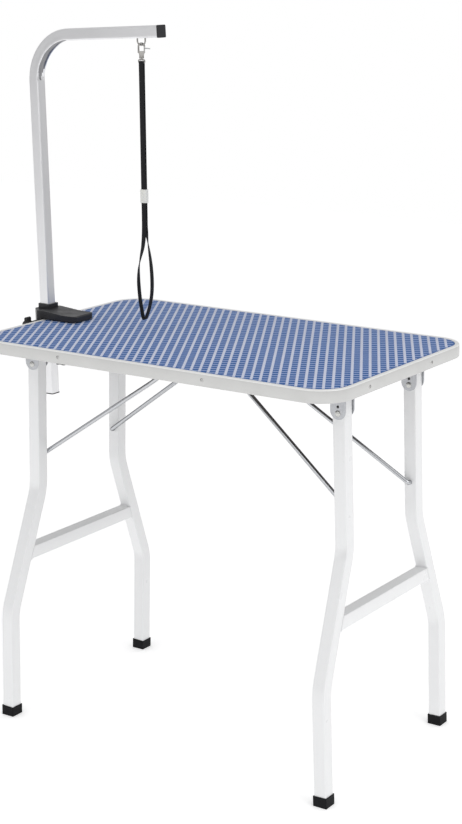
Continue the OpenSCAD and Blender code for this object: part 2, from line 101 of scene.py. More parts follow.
def smooth(obj, angle=35.0):
    for poly in obj.data.polygons:
        poly.use_smooth = True
    obj.data.set_sharp_from_angle(angle=math.radians(angle))
    return obj


def rounded_path(corners, radius, step=3.0):
    """The corner points with an arc in place of each inner one."""
    points = [Vector(corners[0])]
    for a, b, c in zip(corners, corners[1:], corners[2:]):
        a, b, c = Vector(a), Vector(b), Vector(c)
        u, v = (b - a).normalized(), (c - b).normalized()
        turn = u.angle(v)
        back = radius * math.tan(turn / 2)
        centre = b + ((v - u).normalized()) * (radius / math.cos(turn / 2))
        start = b - u * back - centre
        axis = u.cross(v).normalized()
        steps = max(2, math.ceil(math.degrees(turn) / step))
        for k in range(steps + 1):
            points.append(centre + Matrix.Rotation(turn * k / steps, 3, axis) @ start)
    points.append(Vector(corners[-1]))
    return points


def round_square(half_x, half_y, radius, steps=5):
    """A closed outline of a rounded rectangle, counterclockwise."""
    out = []
    for k, (sx, sy) in enumerate(((1, 1), (-1, 1), (-1, -1), (1, -1))):
        for s in range(steps + 1):
            a = math.radians(90 * k + 90 * s / steps)
            out.append((sx * (half_x - radius) + radius * math.cos(a),
                        sy * (half_y - radius) + radius * math.sin(a)))
    return out


def dense_square(half, radius):
    """A rounded square with extra points on its flats, so that they can be dented."""
    out = []
    loop = round_square(half, half, radius, 5)
    for p, q in zip(loop, loop[1:] + loop[:1]):
        p, q = Vector(p), Vector(q)
        cuts = 8 if (q - p).length > half else 1
        out += [tuple(p.lerp(q, k / cuts)) for k in range(cuts)]
    return out


def ring_outline(radius, steps=28):
    return [(radius * math.cos(2 * math.pi * k / steps), radius * math.sin(2 * math.pi * k / steps))
            for k in range(steps)]


def sweep(name, points, normal, section, inner=None, closed=False, shape=None, place=None):
    """Sweeps an outline along a flat path; with inner, the result is a tube with walls."""
    normal = Vector(normal).normalized()
    n, m = len(section), len(points)
    place = place or Matrix.Identity(4)
    loops = [section] if inner is None else [section, inner]
    verts, along = [], [0.0]
    for i in range(1, m):
        along.append(along[-1] + (points[i] - points[i - 1]).length)
    around = [0.0]
    for k in range(n):
        around.append(around[-1] + (Vector(section[(k + 1) % n]) - Vector(section[k])).length)
    for loop in loops:
        for i in range(m):
            before = points[(i - 1) % m] if closed or i else points[0]
            after = points[(i + 1) % m] if closed or i < m - 1 else points[-1]
            way = (after - before).normalized()
            sideways = normal.cross(way).normalized()
            for a, b in loop:
                if shape:
                    a, b = shape(i, a, b)
                verts.append(place @ (points[i] + normal * a + sideways * b))
    faces, uvs = [], []
    spans = m if closed else m - 1
    for which in range(len(loops)):
        for i in range(spans):
            j = (i + 1) % m
            far = along[j] if j else along[-1] + (points[0] - points[-1]).length
            for k in range(n):
                q = (k + 1) % n
                face = [which * n * m + i * n + k, which * n * m + i * n + q,
                        which * n * m + j * n + q, which * n * m + j * n + k]
                uv = [(around[k], along[i]), (around[k + 1], along[i]),
                      (around[k + 1], far), (around[k], far)]
                faces.append(face if which else face[::-1])
                uvs.append(uv if which else uv[::-1])
    if not closed:
        for i, flip in ((0, False), (m - 1, True)):
            if inner is None:
                face = [i * n + k for k in range(n)]
                faces.append(face[::-1] if flip else face)
                uvs.append([(0.0, 0.0)] * n)
            else:
                for k in range(n):
                    q = (k + 1) % n
                    face = [i * n + k, i * n + q, n * m + i * n + q, n * m + i * n + k]
                    faces.append(face[::-1] if flip else face)
                    uvs.append([(0.0, 0.0)] * 4)
    obj = mesh_object(name, verts, faces, uvs)
    tidy(obj)
    return smooth(obj)


def tidy(obj):
    bm = bmesh.new()
    bm.from_mesh(obj.data)
    bmesh.ops.recalc_face_normals(bm, faces=bm.faces)
    bm.to_mesh(obj.data)
    bm.free()


def lathe(name, profile, place, steps=40):
    """Turns a profile of (radius, height) pairs about Z."""
    verts, faces = [], []
    for r, h in profile:
        for k in range(steps):
            a = 2 * math.pi * k / steps
            verts.append(place @ Vector((r * math.cos(a), r * math.sin(a), h)))
    for i in range(len(profile) - 1):
        for k in range(steps):
            q = (k + 1) % steps
            faces.append([i * steps + k, i * steps + q, (i + 1) * steps + q, (i + 1) * steps + k])
    faces.append([k for k in range(steps)][::-1])
    faces.append([(len(profile) - 1) * steps + k for k in range(steps)])
    obj = mesh_object(name, verts, faces)
    tidy(obj)
    return smooth(obj, 30)


def cylinder(radius, length, place):
    return lathe("cutter", [(radius, -length / 2), (radius, length / 2)], place, 32)


def cut(obj, cutters):
    for cutter in cutters:
        mod = obj.modifiers.new("cut", "BOOLEAN")
        mod.operation, mod.solver, mod.object = "DIFFERENCE", "EXACT", cutter
    graph = bpy.context.evaluated_depsgraph_get()
    mesh = bpy.data.meshes.new_from_object(obj.evaluated_get(graph))
    obj.modifiers.clear()
    obj.data = mesh
    for cutter in cutters:
        bpy.data.objects.remove(cutter, do_unlink=True)
    return smooth(obj)


def join(name, parts):
    bm = bmesh.new()
    for part in parts:
        bm.from_mesh(part.data)
        bpy.data.objects.remove(part, do_unlink=True)
    mesh = bpy.data.meshes.new(name)
    bm.to_mesh(mesh)
    bm.free()
    obj = bpy.data.objects.new(name, mesh)
    bpy.context.scene.collection.objects.link(obj)
    return smooth(obj)


def rounded_edges(node, width, segments=3, angle=32):
    """Flat facets joined, edges rounded: modifiers only, the CAD mesh stays as it is."""
    obj = bpy.data.objects[node]
    weld = obj.modifiers.new("weld", "WELD")
    weld.merge_threshold = 0.00002
    flat = obj.modifiers.new("flat", "DECIMATE")
    flat.decimate_type, flat.angle_limit = "DISSOLVE", math.radians(0.6)
    bevel = obj.modifiers.new("bevel", "BEVEL")
    bevel.width, bevel.segments = width, segments
    bevel.limit_method, bevel.angle_limit = "ANGLE", math.radians(angle)
    bevel.use_clamp_overlap = True
    shade = obj.modifiers.new("shade", "WEIGHTED_NORMAL")
    shade.keep_sharp = True
    for poly in obj.data.polygons:
        poly.use_smooth = True
    obj.data.set_sharp_from_angle(angle=math.radians(40))
    return obj


# ---------- node materials ----------

class Look:
    """A Principled material with short ways to add texture to it."""

    def __init__(self, name, color, metallic=0.0, roughness=0.5):
        self.material = bpy.data.materials.new(name)
        self.material.use_nodes = True
        self.tree = self.material.node_tree
        self.shader = self.tree.nodes["Principled BSDF"]
        self.set("Base Color", (*color, 1.0))
        self.set("Metallic", metallic)
        self.set("Roughness", roughness)

    def set(self, socket, value):
        self.shader.inputs[socket].default_value = value

    def add(self, kind, links=None, **values):
        node = self.tree.nodes.new(kind)
        for key, value in values.items():
            if hasattr(node, key):
                setattr(node, key, value)
            else:
                node.inputs[key].default_value = value
        for key, source in (links or {}).items():
            self.tree.links.new(source, node.inputs[key])
        return node

    def place(self, scale=(1, 1, 1), turn=(0, 0, 0), source="Object"):
        where = self.add("ShaderNodeTexCoord")
        way = self.add("ShaderNodeMapping", {"Vector": where.outputs[source]})
        way.inputs["Scale"].default_value = scale
        way.inputs["Rotation"].default_value = turn
        return way.outputs["Vector"]

    def noise(self, scale, detail=3.0, vector=None):
        return self.add("ShaderNodeTexNoise", {"Vector": vector or self.place()},
                        Scale=scale, Detail=detail).outputs["Fac"]

    def ramp(self, source, stops):
        node = self.add("ShaderNodeValToRGB", {"Fac": source})
        ramp = node.color_ramp
        while len(ramp.elements) < len(stops):
            ramp.elements.new(0.5)
        for element, (at, value) in zip(ramp.elements, stops):
            element.position = at
            element.color = (*value, 1.0) if isinstance(value, tuple) else (value,) * 3 + (1.0,)
        return node.outputs["Color"]

    def link(self, source, socket):
        self.tree.links.new(source, self.shader.inputs[socket])

    def spread(self, source, low, high):
        node = self.add("ShaderNodeMapRange", {"Value": source})
        node.inputs["To Min"].default_value, node.inputs["To Max"].default_value = low, high
        node.inputs["From Min"].default_value, node.inputs["From Max"].default_value = 0.25, 0.75
        return node.outputs["Result"]

    def bump(self, source, distance, strength=0.5):
        before = self.shader.inputs["Normal"]
        links = {"Height": source}
        if before.is_linked:
            links["Normal"] = before.links[0].from_socket
        node = self.add("ShaderNodeBump", links, Strength=strength, Distance=distance)
        self.link(node.outputs["Normal"], "Normal")

    def mix(self, factor, a, b):
        return self.ramp(factor, [(0.0, a), (1.0, b)])

    def blend(self, factor, color, other):
        node = self.add("ShaderNodeMixRGB", {"Fac": factor, "Color1": color})
        node.inputs["Color2"].default_value = (*other, 1.0)
        return node.outputs["Color"]


def powder_coat():
    look = Look("white_powder_coat", (0.86, 0.865, 0.87), roughness=0.32)
    look.set("Coat Weight", 0.25)
    look.set("Coat Roughness", 0.12)
    look.bump(look.noise(520, 2), 0.00012, 0.35)
    look.bump(look.noise(70, 3), 0.0003, 0.12)
    look.link(look.spread(look.noise(30, 4), 0.26, 0.40), "Roughness")
    return look.material


def satin_trim(name, tone, metallic):
    look = Look(name, (tone, tone, tone - 0.01), metallic=metallic, roughness=0.32)
    look.bump(look.noise(1.0, 4, look.place((30, 30, 1600))), 0.00006, 0.4)
    look.link(look.spread(look.noise(45, 4), 0.30, 0.42), "Roughness")
    dull, clean = tone - 0.05, tone + 0.05
    look.link(look.mix(look.noise(12, 3), (dull, dull, dull - 0.01), (clean, clean, clean - 0.01)),
              "Base Color")
    return look.material


MAT_BLUE, MAT_DEEP, MAT_NICK = (0.016, 0.110, 0.375), (0.010, 0.088, 0.320), (0.36, 0.48, 0.78)
MAT_STRIPE, MAT_SHADE = (0.74, 0.77, 0.90), (0.26, 0.36, 0.64)
STRIPE_WAY = math.atan2(0.862, -0.506)


def mat_rubber(name, tone, deep, nick):
    """Rubber with fine cross grooves."""
    look = Look(name, tone, roughness=0.6)
    look.set("Specular IOR Level", 0.2)
    along = look.place((1, 1, 1), (0, 0, -STRIPE_WAY))
    color = look.mix(look.noise(38, 5), deep, tone)
    for period, depth, sharp in ((0.0040, 0.0003, 0.24), (0.0013, 0.0001, 0.10)):
        wave = look.add("ShaderNodeTexWave", {"Vector": along}, Scale=math.pi / 10 / period)
        wave.bands_direction = "X"
        line = look.ramp(wave.outputs["Fac"], [(0.72, 0.0), (0.90, sharp)])
        look.bump(line, depth, 0.6)
        color = look.blend(line, color, nick)
    look.link(color, "Base Color")
    look.bump(look.noise(900, 3), 0.00015, 0.4)
    look.link(look.spread(look.noise(60, 4), 0.50, 0.70), "Roughness")
    return look.material


def galvanised():
    look = Look("galvanised_steel", (0.50, 0.51, 0.53), metallic=0.9, roughness=0.38)
    cells = look.add("ShaderNodeTexVoronoi", {"Vector": look.place()}, Scale=160.0)
    tone = look.add("ShaderNodeRGBToBW", {"Color": cells.outputs["Color"]}).outputs["Val"]
    look.link(look.mix(tone, (0.44, 0.45, 0.47), (0.58, 0.59, 0.61)), "Base Color")
    look.link(look.spread(tone, 0.30, 0.46), "Roughness")
    look.bump(look.noise(240, 3), 0.0001, 0.3)
    return look.material


def chrome():
    look = Look("chrome", (0.56, 0.57, 0.59), metallic=1.0, roughness=0.07)
    look.set("Specular Tint", (0.05, 0.05, 0.05, 1.0))
    look.link(look.spread(look.noise(90, 4), 0.045, 0.11), "Roughness")
    look.bump(look.noise(1.0, 3, look.place((900, 900, 30))), 0.00002, 0.25)
    return look.material


def satin_silver():
    look = Look("satin_silver_arm", (0.83, 0.83, 0.84), metallic=0.95, roughness=0.27)
    look.bump(look.noise(1.0, 3, look.place((900, 4, 1), source="UV")), 0.000004, 0.1)
    look.link(look.spread(look.noise(14, 3), 0.28, 0.34), "Roughness")
    look.link(look.mix(look.noise(9, 3), (0.80, 0.80, 0.81), (0.87, 0.87, 0.88)), "Base Color")
    return look.material


def painted_bend_reflection():
    """The inner face of the arm's bend gets a painted dark reflection: dark, dull metal with
    streaks.
    """
    look = Look("arm_bend_painted_reflection", (0.20, 0.20, 0.21), metallic=0.95, roughness=0.34)
    streaks = look.noise(1.0, 4, look.place((700, 10, 1), source="UV"))
    look.link(look.mix(streaks, (0.10, 0.10, 0.11), (0.42, 0.42, 0.43)), "Base Color")
    look.bump(streaks, 0.00002, 0.3)
    return look.material


def black_plastic(name, tone, roughness, grain, gloss=0.3):
    look = Look(name, tone, roughness=roughness)
    look.set("Specular IOR Level", gloss)
    cells = look.add("ShaderNodeTexVoronoi", {"Vector": look.place()}, Scale=grain)
    look.bump(cells.outputs["Distance"], 0.00012, 0.35)
    look.link(look.spread(look.noise(50, 4), roughness - 0.07, roughness + 0.09), "Roughness")
    worn = tuple(c * 1.5 for c in tone)
    look.link(look.mix(look.noise(28, 5), tone, worn), "Base Color")
    return look.material


def zinc(name="zinc", tone=(0.62, 0.62, 0.60)):
    look = Look(name, tone, metallic=1.0, roughness=0.24)
    look.link(look.spread(look.noise(300, 4), 0.16, 0.34), "Roughness")
    look.link(look.mix(look.noise(140, 4), tuple(c * 0.84 for c in tone), tone), "Base Color")
    look.bump(look.noise(700, 2), 0.00005, 0.3)
    return look.material


def webbing():
    look = Look("black_webbing", (0.008, 0.008, 0.009), roughness=0.8)
    look.set("Sheen Weight", 0.06)
    look.set("Specular IOR Level", 0.25)
    lanes = look.place((1, 1, 1), source="UV")
    for way, scale in (("X", 190.0), ("Y", 140.0)):
        wave = look.add("ShaderNodeTexWave", {"Vector": lanes}, Scale=scale)
        wave.bands_direction = way
        look.bump(wave.outputs["Fac"], 0.00025, 0.6)
    look.link(look.mix(look.noise(420, 4), (0.005, 0.005, 0.006), (0.014, 0.014, 0.016)),
              "Base Color")
    return look.material


def pale_plastic():
    look = Look("pale_slide", (0.78, 0.78, 0.74), roughness=0.34)
    look.set("Subsurface Weight", 0.08)
    look.set("Subsurface Radius", (0.002, 0.002, 0.0015))
    look.bump(look.noise(420, 3), 0.00008, 0.3)
    look.link(look.spread(look.noise(90, 3), 0.27, 0.42), "Roughness")
    return look.material


def dark_laminate():
    look = Look("dark_laminate", (0.035, 0.031, 0.029), roughness=0.42)
    grain = look.noise(1.0, 6, look.place((5, 130, 30)))
    look.link(look.mix(grain, (0.022, 0.019, 0.018), (0.062, 0.053, 0.047)), "Base Color")
    look.bump(grain, 0.0002, 0.3)
    look.link(look.spread(look.noise(60, 4), 0.34, 0.52), "Roughness")
    return look.material


def nylon():
    look = Look("nylon", (0.72, 0.70, 0.62), roughness=0.4)
    look.bump(look.noise(380, 3), 0.00008, 0.3)
    look.link(look.mix(look.noise(60, 4), (0.66, 0.64, 0.56), (0.76, 0.74, 0.67)), "Base Color")
    return look.material


LOOKS = {
    "coat": powder_coat(), "trim": satin_trim("satin_trim", 0.62, 0.35),
    # The lip material is the trim made much lighter: a painted highlight for the top of the lip.
    "lip": satin_trim("lip_painted_highlight", 0.90, 0.10),
    "mat": mat_rubber("mat_blue", MAT_BLUE, MAT_DEEP, MAT_NICK),
    "cross": mat_rubber("mat_cross", MAT_NICK, tuple(c * 0.8 for c in MAT_NICK), MAT_STRIPE),
    "stripe": mat_rubber("mat_stripe", MAT_STRIPE, tuple(c * 0.9 for c in MAT_STRIPE), MAT_SHADE),
    "steel": galvanised(), "chrome": chrome(), "arm": satin_silver(),
    # The bend material is a painted dark reflection for the arm's inner bend.
    "bend": painted_bend_reflection(),
    "clamp": black_plastic("clamp_black", (0.018, 0.018, 0.020), 0.36, 620.0),
    "rubber": black_plastic("black_rubber", (0.006, 0.006, 0.007), 0.55, 900.0, 0.12),
    "knob": black_plastic("knob_black", (0.012, 0.012, 0.013), 0.30, 760.0),
    "zinc": zinc(), "screw": zinc("zinc_screw", (0.55, 0.55, 0.54)),
    "hook": zinc("hook_zinc", (0.42, 0.41, 0.39)),
    "web": webbing(), "pale": pale_plastic(), "board": dark_laminate(), "nylon": nylon(),
}


def dress(obj, *looks):
    obj.data.materials.clear()
    for look in looks:
        obj.data.materials.append(LOOKS[look])
    return obj


def piece(obj, body, *looks, replacing=()):
    dress(obj, *looks)
    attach(obj, body)
    if replacing:
        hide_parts(*replacing)
    return obj


# ---------- table top ----------

CORNER_STEPS = 14


def rect_path(half_x, half_y, radius, z):
    """The table's rounded outline at a height."""
    return [Vector((TABLE_X + x, y, z))
            for x, y in round_square(half_x, half_y, radius, CORNER_STEPS)]


def edge_trim():
    """A channel with a rolled lip over the mat and a folded flange under the board."""
    wall, h, roll, flange = 0.0015, TRIM_H, 0.0030, 0.012
    lip_low, flange_top = h - 0.0042, 0.0021
    profile = [(-flange, 0.0), (-0.0012, 0.0), (-0.0004, 0.0004), (0.0, 0.0012), (0.0, h - roll)]
    for degrees in range(15, 91, 15):
        a = math.radians(degrees)
        profile.append((-roll + roll * math.cos(a), h - roll + roll * math.sin(a)))
    profile += [(-LIP_W + 0.0012, h - 0.0002), (-LIP_W + 0.0003, h - 0.0007),
                (-LIP_W, h - 0.0016), (-LIP_W, lip_low), (-wall, lip_low),
                (-wall, flange_top), (-flange, flange_top)]
    base = rect_path(TOP_L / 2, TOP_W / 2, CORNER_R, TOP_H - TRIM_H)
    section = [(z, -x) for x, z in profile]
    obj = sweep("trim_channel", base, (0, 0, 1), section[::-1], closed=True)
    smooth(obj, 28)
    # The lip's upward faces take the lighter lip material: a painted highlight along the top of the
    # lip.
    piece(obj, "table", "trim", "lip", replacing=["edge_trim"])
    for poly in obj.data.polygons:
        poly.material_index = int(poly.normal.z > 0.3 and poly.center.z > TOP_H - 0.004)
    return obj


def clip_line(origin, way, outline):
    """Where a line enters and leaves a convex outline."""
    low, high = -9.0, 9.0
    for a, b in zip(outline, outline[1:] + outline[:1]):
        edge = b - a
        if edge.length < 1e-7:
            continue
        outward = Vector((edge.y, -edge.x))
        speed, gap = outward.dot(way), outward.dot(a - origin)
        if abs(speed) < 1e-9:
            if gap < 0:
                return None
        elif speed > 0:
            high = min(high, gap / speed)
        else:
            low = max(low, gap / speed)
    return (low, high) if high - low > 0.006 else None


def rubber_mat():
    """A slab with a soft edge; pale ribs stand in rows across it, with lower ribs between."""
    gap, margin = 0.0003, 0.0016
    half_x, half_y = TOP_L / 2 - LIP_W - gap, TOP_W / 2 - LIP_W - gap
    radius = CORNER_R - LIP_W
    rows = [(0.0, 0.0), (0.0, 0.0026), (0.0004, 0.0031), (0.0011, 0.0033)]
    verts, faces = [], []
    for inset, rise in rows:
        verts += rect_path(half_x - inset, half_y - inset, radius - inset, BOARD_TOP + rise)
    n = 4 * (CORNER_STEPS + 1)
    for i in range(len(rows) - 1):
        for k in range(n):
            q = (k + 1) % n
            faces.append([i * n + k, i * n + q, (i + 1) * n + q, (i + 1) * n + k])
    faces.append([k for k in range(n)][::-1])
    faces.append([(len(rows) - 1) * n + k for k in range(n)])
    slab_faces = len(faces)
    outline = [p.to_2d() for p in
               rect_path(half_x - margin, half_y - margin, radius - margin, BOARD_TOP)]
    top = BOARD_TOP + rows[-1][1]
    for turn, pitch, half, rise in ((0.0, 0.0155, 0.0026, 0.0007), (90.0, 0.0160, 0.0018, 0.00045)):
        cross_from = len(faces)
        angle = STRIPE_WAY + math.radians(turn)
        way = Vector((math.cos(angle), math.sin(angle)))
        across = Vector((way.y, -way.x))
        profile = [(-half, -0.0001), (-half * 0.75, rise * 0.75), (-half * 0.4, rise),
                   (half * 0.4, rise), (half * 0.75, rise * 0.75), (half, -0.0001)]
        m = len(profile)
        for k in range(-32, 33):
            origin = Vector((TABLE_X, 0.0)) + across * (pitch * k)
            span = clip_line(origin, way, outline)
            if not span:
                continue
            at = len(verts)
            for end, inward in ((span[0] + 0.001, 1.0), (span[1] - 0.001, -1.0)):
                for off, up in profile:
                    q = origin + across * off + way * (end + inward * max(0.0, up) * 1.2)
                    verts.append(Vector((q.x, q.y, top + up)))
            for j in range(m - 1):
                faces.append([at + j, at + j + 1, at + m + j + 1, at + m + j])
            faces.append([at + j for j in range(m)])
            faces.append([at + m + j for j in range(m)][::-1])
            faces.append([at, at + m, at + 2 * m - 1, at + m - 1])
    obj = mesh_object("ribbed_mat", verts, faces)
    tidy(obj)
    smooth(obj, 50)
    piece(obj, "table", "mat", "stripe", "cross", replacing=["rubber_mat"])
    for poly in obj.data.polygons:
        poly.material_index = (poly.index >= slab_faces) + (poly.index >= cross_from)
    return obj


def cross_cutter(place, size, depth):
    """Two crossed bars that cut a screw's recess."""
    bars = []
    w, l = size * 0.17, size * 0.62
    for turn in (0, 90):
        at = place @ turned(turn, "Z")
        verts = [at @ Vector((x, y, z)) for z in (-depth, 0.001) for x, y in
                 ((-l, -w), (l, -w), (l, w), (-l, w))]
        faces = [[3, 2, 1, 0], [4, 5, 6, 7]] + [[k, (k + 1) % 4, (k + 1) % 4 + 4, k + 4]
                                                for k in range(4)]
        bars.append(mesh_object("cutter", verts, faces))
        tidy(bars[-1])
    return bars


def screw_head(place, radius, height):
    dome = [(radius, 0.0)]
    for degrees in range(12, 84, 12):
        a = math.radians(degrees)
        dome.append((radius * math.cos(a), height * math.sin(a)))
    head = lathe("head", dome + [(radius * 0.08, height)], place, 28)
    crown = place @ Matrix.Translation((0, 0, height))
    return cut(head, cross_cutter(crown, radius, height * 0.62))


def trim_screws():
    """Two on each side of the trim, each turned a little differently."""
    head_r, head_h = 0.0034, 0.0012
    places = []
    for x in (-0.187, 0.133):
        for s in (-1, 1):
            places.append(Matrix.Translation((TABLE_X + x, s * TOP_W / 2, TOP_H - 0.012))
                          @ turned(-90 * s, "X") @ turned(31 + 200 * x, "Z"))
    for y in (-0.125, 0.094):
        for s in (-1, 1):
            places.append(Matrix.Translation((TABLE_X + s * TOP_L / 2, y, TOP_H - 0.013))
                          @ turned(90 * s, "Y") @ turned(12 + 400 * y, "Z"))
    obj = join("trim_screw_heads", [screw_head(m, head_r, head_h) for m in places])
    return piece(obj, "table", "screw", replacing=["trim_screws"])


def hinge_rivets():
    """Pins with domed heads through the bracket ears."""
    half, r, head, rim, crown = 0.0151, 0.0035, 0.0056, 0.0002, 0.0018
    dome = []
    for degrees in range(0, 88, 11):
        a = math.radians(degrees)
        dome.append((head * math.cos(a), half + rim + crown * math.sin(a)))
    dome.append((0.0002, half + 0.002))
    profile = [(x, -z) for x, z in dome[::-1]]
    profile += [(head, -half), (r, -half), (r, half), (head, half)] + dome
    parts = []
    for side in SIDES.values():
        for end in ENDS.values():
            at = Matrix.Translation((TABLE_X + side * PIVOT_X, end * LEG_Y, PIVOT_Z))
            parts.append(lathe("rivet", profile, at @ turned(90, "X"), 36))
    obj = join("hinge_rivets", parts)
    return piece(obj, "table", "zinc", replacing=["hinge_pins"])


# ---------- leg frames ----------

def leg(side_name, end_name):
    """A square tube with two pressed bends, its pin and stop holes and the rod's bore."""
    side, end = SIDES[side_name], ENDS[end_name]
    place = leg_frame(side)
    path = rounded_path([Vector((0, end * y, z)) for y, z in LEG_LINE], LEG_BEND_R, 1.6)
    half = LEG_A / 2
    outer, inner = dense_square(half, LEG_CORNER_R), dense_square(half - LEG_WALL, 0.0007)
    arc = (len(path) - 2) // 2

    def pinched(i, a, b):
        """Each bend's inner face is pressed in a little."""
        for first, way in ((1, end), (1 + arc, -end)):
            t = (i - first) / (arc - 1)
            if 0 < t < 1 and b * way > 0.2 * half:
                middle = max(0.0, 1 - (abs(a) / half) ** 3)
                b -= way * LEG_DENT * math.sin(math.pi * t) ** 1.5 * middle * abs(b) / half
        return a, b

    obj = sweep(f"{side_name}_{end_name}_leg_tube", path, (1, 0, 0), outer, inner,
                shape=pinched, place=place)
    along_y = turned(90, "X")
    holes = [(LEG_Y * end, 0.0, PIN_BORE_R, 2 * LEG_A),
             (LEG_Y * end, STOP_HOLE_UP, STOP_HOLE_R, 2 * LEG_A),
             ((LEG_Y - half) * end, -ROD_DROP, ROD_BORE_R, 0.008)]
    cut(obj, [cylinder(r, length, place @ Matrix.Translation((0, y, z)) @ along_y)
              for y, z, r, length in holes])
    return piece(obj, f"{side_name}_frame", "coat", replacing=[f"{side_name}_{end_name}_leg"])


def crossbar(side_name):
    """A square tube between the slanted legs with a weld bead round each end."""
    side = SIDES[side_name]
    place = leg_frame(side) @ Matrix.Translation((0, 0, CROSSBAR_Z))
    half, seam_out = LEG_A / 2, 0.0004
    outer = round_square(half, half, LEG_CORNER_R, 5)
    slope = math.tan(math.radians(SLANT))
    near = half / math.cos(math.radians(SLANT))
    verts, n = [], len(outer)
    for end in (-1, 1):
        verts += [place @ Vector((x, end * (CROSSBAR_Y - near - z * slope), z)) for x, z in outer]
    faces = [[k, (k + 1) % n, n + (k + 1) % n, n + k] for k in range(n)]
    faces += [[k for k in range(n)][::-1], [n + k for k in range(n)]]
    bar = mesh_object("bar", verts, faces)
    tidy(bar)
    parts = [smooth(bar)]
    for end in (-1, 1):
        verts, faces, rings = [], [], 8
        seam = round_square(half + seam_out, half + seam_out, LEG_CORNER_R + seam_out, 8)
        m = len(seam)
        for i, (x, z) in enumerate(seam):
            lump = 0.0013 + 0.00035 * math.sin(i * 2.4)
            centre = Vector((x, end * (CROSSBAR_Y - near - z * slope - 0.0002), z))
            outward = Vector((x, 0, z)).normalized()
            for k in range(rings):
                a = 2 * math.pi * k / rings
                verts.append(place @ (centre + outward * lump * math.cos(a)
                                      + Vector((0, 1, 0)) * lump * 1.2 * math.sin(a)))
        for i in range(m):
            j = (i + 1) % m
            faces += [[i * rings + k, i * rings + (k + 1) % rings, j * rings + (k + 1) % rings,
                       j * rings + k] for k in range(rings)]
        bead = mesh_object("bead", verts, faces)
        tidy(bead)
        parts.append(bead)
    obj = join(f"{side_name}_welded_crossbar", parts)
    return piece(obj, f"{side_name}_frame", "coat", replacing=[f"{side_name}_crossbar"])


def brace(side_name, end_name):
    """A chrome rod with one end bent into the leg and the other bent to sit in its hook."""
    side, end = SIDES[side_name], ENDS[end_name]
    angle, sp = math.radians(ROD_ANGLE), math.radians(SPLAY)
    anchor = Vector((TABLE_X + side * (PIVOT_X + ROD_DROP * math.sin(sp)), 0,
                     PIVOT_Z - ROD_DROP * math.cos(sp)))
    way = Vector((-side * math.cos(angle), 0, math.sin(angle)))
    points = rounded_path([anchor + way * s + Vector((0, end * y, 0))
                           for s, y in ROD_START + ROD_END[side_name]], ROD_BEND_R, 7)
    normal = way.cross(Vector((0, 1, 0)))
    obj = sweep(f"{side_name}_{end_name}_brace_bar", points, normal, ring_outline(ROD_R))
    return piece(obj, f"{side_name}_{end_name}_brace", "chrome",
                 replacing=[f"{side_name}_{end_name}_brace"])


# ---------- arm ----------

def arm():
    """The bent tube; its inner face is pressed in over the bend, as a bent box tube's is."""
    slope = math.radians(ARM_SLOPE)
    corner = Vector((0, 0, ARM_RISE))
    end = corner + Vector((ARM_RUN * math.cos(slope), 0, ARM_RUN * math.sin(slope)))
    path = rounded_path([Vector((0, 0, ARM_TAIL)), corner, end], ARM_BEND_R, 2.5)
    first, last = 1, len(path) - 2
    half = ARM_A / 2

    def dented(i, a, b):
        if not first <= i <= last or b <= 0.2 * half:
            return a, b
        t = (i - first) / (last - first)
        ripple = 0.93 + 0.07 * math.cos(26 * t)
        depth = ARM_DENT * min(1.0, 5.5 * math.sin(math.pi * t)) * ripple
        middle = max(0.0, 1 - (abs(a) / half) ** 3.0)
        return a * (1 + 0.03 * math.sin(math.pi * t)), b - depth * middle * min(1.0, b / half)

    section = dense_square(half, 0.0024)
    obj = sweep("arm_square_tube", path, (0, 1, 0), section,
                dense_square(half - ARM_WALL, 0.0012), shape=dented, place=arm_frame())
    # The second slot is a painted dark reflection, given to faces along the middle of the inner
    # face over the bend, on top of the real dent.
    piece(obj, "arm", "arm", "bend", replacing=["arm_tube"])
    for poly in obj.data.polygons[:(len(path) - 1) * len(section)]:
        i, k = divmod(poly.index, len(section))
        a, b = (Vector(section[k]) + Vector(section[(k + 1) % len(section)])) / 2
        taper = min(1.0, 5 * (i - first) / (last - first))
        if first + 1 <= i < last - 1 and b > 0.9 * half and abs(a) / half < 0.80 * taper:
            poly.material_index = 1
    return obj


# ---------- noose ----------

# The strap's way in millimetres from the noose's axis, each with its twist in degrees.
ROUTE = [(0, -0.15, 1265.7, 0), (0, -1.7, 1265, 0), (0, -2.3, 1263.2, 0), (0, -2.3, 1255, 0)]
ROUTE += [(0, -2.2, z, 0) for z in (1225, 1185, 1145, 1105, 1065, 1030, 1000, 970)]
ROUTE += [(-1, -2.4, 945, -4), (-4, -2.6, 922, -18), (-10, -2.2, 902, -40), (-15, -1.5, 882, -64),
          (-17, -0.6, 860, -84), (-16.5, 0, 838, -90), (-14, 0, 816, -90), (-11, 0, 799, -90),
          (-9, 0, 789, -90), (-7, 0, 784.2, -90), (-4, 0, 783.2, -90), (-1.4, 0, 785.5, -90),
          (1, 0, 791, -90), (5, 0, 801, -90), (10, 0, 817, -90), (13.5, 0, 836, -90),
          (14.5, 0, 856, -90), (13.5, 0.4, 876, -88), (11, 1.2, 896, -80), (7.5, 2.2, 914, -68),
          (4, 3.2, 930, -50), (1.5, 3.4, 946, -25), (0, 2.6, 962, -6)]
ROUTE += [(0, 2.2, z, 0) for z in (980, 1005, 1030, 1065, 1105, 1145, 1185, 1225)]
ROUTE += [(0, 2.3, 1255, 0), (0, 2.3, 1263.2, 0), (0, 1.7, 1265, 0), (0, 0.15, 1265.7, 0)]


def catmull(points, steps):
    """A smooth curve through rows of four numbers."""
    out = []
    for i in range(len(points) - 1):
        p = [points[max(i - 1, 0)], points[i], points[i + 1], points[min(i + 2, len(points) - 1)]]
        for k in range(steps):
            t = k / steps
            out.append([0.5 * (2 * p[1][c] + (p[2][c] - p[0][c]) * t
                               + (2 * p[0][c] - 5 * p[1][c] + 4 * p[2][c] - p[3][c]) * t * t
                               + (3 * p[1][c] - p[0][c] - 3 * p[2][c] + p[3][c]) * t ** 3)
                        for c in range(4)])
    return out + [list(points[-1])]


